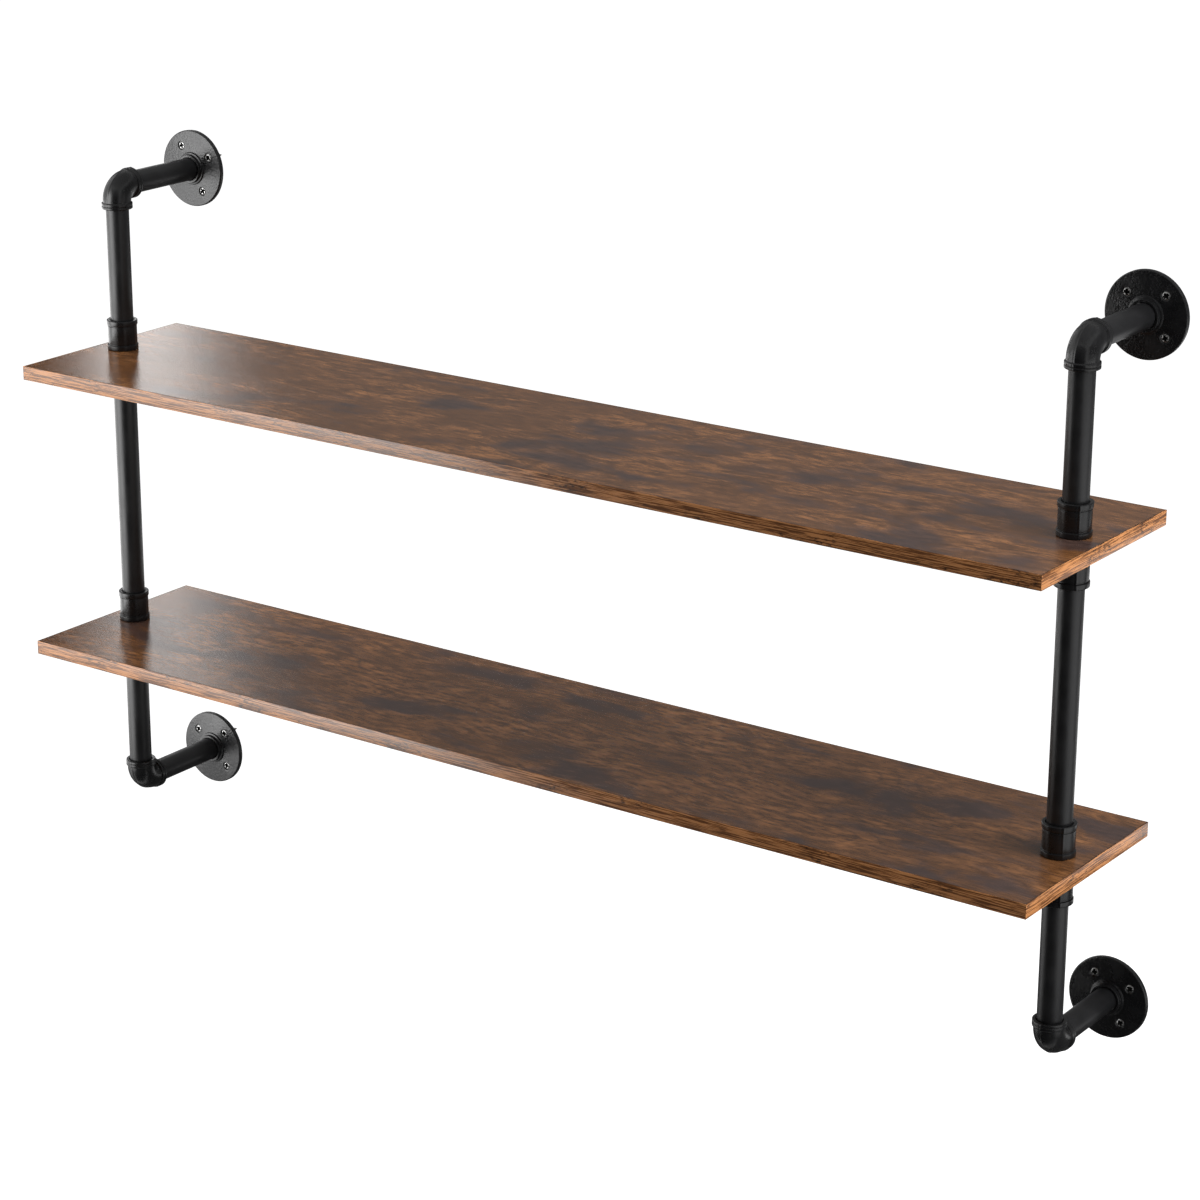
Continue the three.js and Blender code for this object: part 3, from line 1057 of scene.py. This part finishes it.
# Each light's place, the point that it faces, its width, its height and how bright its face is.
LIGHTS = {
    "soft_box_key": ((-1.08, -0.93, 0.0), (-0.611, -0.047, 0.0), 0.94, 1.5, 1.4),
    "soft_box_left": ((-1.8, -0.05, -0.3), (0.0, 0.0, -0.3), 1.4, 0.9, 2.1),
    "fill_left_high": ((-1.8, -0.05, 0.85), (0.0, 0.0, 0.3), 1.4, 1.3, 2.0),
    "soft_box_back_0": ((-2.0, 1.36, 0.75), (0.0, 1.36, 0.75), 0.24, 1.2, 2.0),
    "soft_box_back_1": ((-2.0, 1.54, 0.75), (0.0, 1.54, 0.75), 0.12, 1.2, 0.4),
    "soft_box_right": ((1.7, -0.12, -0.35), (0.62, -0.13, -0.35), 1.2, 1.1, 1.05),
    "fill_right": ((1.95, -0.12, 0.7), (0.6, -0.12, 0.0), 0.8, 0.8, 12.5),
    "fill_end": ((1.9, -0.12, 0.0), (0.66, -0.12, 0.0), 0.4, 0.4, 12.0),
    "fill_between": ((-0.4, 0.55, 0.03), (-0.4, -0.13, -0.16), 0.5, 0.25, 14.0),
    "fill_above": ((1.0, -0.13, 1.05), (0.75, -0.13, 0.17), 0.5, 0.5, 6.5),
    "fill_left": ((-1.0, -0.13, 1.05), (-0.7, -0.13, 0.17), 0.5, 0.5, 5.0),
    "soft_box_top": ((0.4, -0.5, 2.6), (0.0, -0.1, 0.0), 3.2, 1.8, 1.5),
}

# Each flag's place, the point that it faces, its width, its height and its grey.
FLAGS = {
    "flag_back": ((-0.1, 2.6, 1.0), (-0.1, 0.0, 0.4), 7.2, 4.0, 0.2),
    "flag_right": ((3.1, 0.6, 0.4), (0.0, 0.6, 0.4), 4.4, 4.0, 0.12),
    "flag_below": ((0.0, 1.2, -1.4), (0.0, 1.2, 0.0), 8.0, 2.8, 0.08),
    "flag_left": ((-2.1, 0.9, 0.6), (0.0, 0.9, 0.6), 0.66, 1.8, 0.01),
    "flag_top": ((0.2, -0.3, 2.4), (0.2, -0.3, 0.0), 4.4, 3.4, 0.3),
    "flag_front": ((0.45, -2.5, -0.2), (0.45, 0.0, -0.2), 5.1, 2.6, 0.02),
    "flag_front_high": ((0.75, -2.5, 1.75), (0.75, 0.0, 1.75), 4.5, 1.3, 0.12),
    "flag_floor": ((1.4, -1.5, -1.4), (1.4, -1.5, 0.0), 5.2, 2.4, 0.05),
}


def looked_at(tree):
    """1 for a ray that shows a surface itself or in gloss or glass, and 0 for one that only lights."""
    rays = add_node(tree, "LightPath").outputs
    shown = maths(tree, "MAXIMUM", rays["Is Camera Ray"], rays["Is Glossy Ray"])
    return maths(tree, "MAXIMUM", shown, rays["Is Transmission Ray"])


world = bpy.data.worlds.new("studio")
bpy.context.scene.world = world
world.use_nodes = True
world_tree = world.node_tree
set_inputs(world_tree, world_tree.nodes["Background"], {
    "Color": (1, 1, 1, 1),
    "Strength": ramp(world_tree, looked_at(world_tree), 0.0, 1.0, WORLD_LEVEL, 1.0),
})

floor_shape = bmesh.new()
bmesh.ops.create_grid(floor_shape, x_segments=1, y_segments=1, size=FLOOR_REACH)
floor = put_in_scene("floor", finished_mesh("floor", floor_shape))
floor.location.z = -FLOOR_DROP
floor_paint, floor_tree, floor_shader = new_material("pale_floor")
floor_tree.nodes.remove(floor_shader)
floor_glow = add_node(floor_tree, "Emission", {
    "Color": (1, 1, 1, 1),
    "Strength": maths(floor_tree, "MULTIPLY", looked_at(floor_tree), FLOOR_GLOW),
})
floor_matt = add_node(floor_tree, "BsdfDiffuse", {"Color": (FLOOR_GREY, FLOOR_GREY, FLOOR_GREY, 1)})
floor_sum = add_node(floor_tree, "AddShader", {0: floor_glow.outputs[0], 1: floor_matt.outputs[0]})
floor_mix = add_node(floor_tree, "MixShader", {
    0: add_node(floor_tree, "NewGeometry").outputs["Backfacing"],
    1: floor_sum.outputs[0],
    2: add_node(floor_tree, "BsdfTransparent").outputs[0],
})
set_inputs(floor_tree, floor_tree.nodes["Material Output"], {"Surface": floor_mix.outputs[0]})
floor.data.materials.append(floor_paint)


def facing(place, aim):
    return (Vector(aim) - Vector(place)).to_track_quat("-Z", "Y").to_euler()


def add_light(name, place, aim, width, height, radiance):
    """An area light, its power set from the brightness of its face. Gloss doesn't see a fill."""
    lamp = bpy.data.lights.new(name, "AREA")
    lamp.shape = "RECTANGLE"
    lamp.size = width
    lamp.size_y = height
    lamp.energy = radiance * math.pi * width * height
    lamp.spread = math.radians(KEY_SPREAD if name == "soft_box_key" else FULL_SPREAD)
    light = put_in_scene(name, lamp)
    light.location = place
    light.rotation_euler = facing(place, aim)
    light.visible_camera = False
    light.visible_glossy = not name.startswith("fill")


def add_flag(name, place, aim, width, height, grey):
    """A dark card that only reflections see."""
    cloth, tree, shader = new_material(name)
    tree.nodes.remove(shader)
    glow = add_node(tree, "Emission", {"Color": (grey, grey, grey, 1), "Strength": 1.0})
    set_inputs(tree, tree.nodes["Material Output"], {"Surface": glow.outputs[0]})
    shape = bmesh.new()
    bmesh.ops.create_grid(shape, x_segments=1, y_segments=1, size=0.5)
    card = put_in_scene(name, finished_mesh(name, shape))
    card.scale = (width, height, 1)
    card.location = place
    card.rotation_euler = facing(place, aim)
    card.data.materials.append(cloth)
    card.visible_camera = False
    card.visible_diffuse = False
    card.visible_shadow = False
    card.visible_transmission = False


for name, settings in LIGHTS.items():
    add_light(name, *settings)
for name, settings in FLAGS.items():
    add_flag(name, *settings)

# Camera
# A long lens to the front right of the unit and above it, which looks down on it by some 18 degrees.
# It has no shift, so upright lines draw together a little towards the foot of the picture.
CAMERA_PLACE = (2.038, -2.9164, 1.1357)
CAMERA_AZIMUTH = math.radians(35.38)
CAMERA_ELEVATION = math.radians(18.45)
CAMERA_ROLL = math.radians(0.2)
CAMERA_LENS = 100.16
CAMERA_SENSOR = 36
CAMERA_FAR = 100

camera_data = bpy.data.cameras.new("camera")
camera_data.lens = CAMERA_LENS
camera_data.sensor_width = CAMERA_SENSOR
camera_data.clip_end = CAMERA_FAR
camera = put_in_scene("camera", camera_data)
forward = Vector((
    -math.sin(CAMERA_AZIMUTH) * math.cos(CAMERA_ELEVATION),
    math.cos(CAMERA_AZIMUTH) * math.cos(CAMERA_ELEVATION),
    -math.sin(CAMERA_ELEVATION),
))
level_right = Vector((math.cos(CAMERA_AZIMUTH), math.sin(CAMERA_AZIMUTH), 0))
upward = level_right.cross(forward)
turned = Matrix((level_right, upward, -forward)).transposed().to_4x4()
rolled = Matrix.Rotation(CAMERA_ROLL, 4, "Z")
camera.matrix_world = Matrix.Translation(CAMERA_PLACE) @ turned @ rolled
bpy.context.scene.camera = camera
bpy.context.scene.view_settings.view_transform = "Standard"
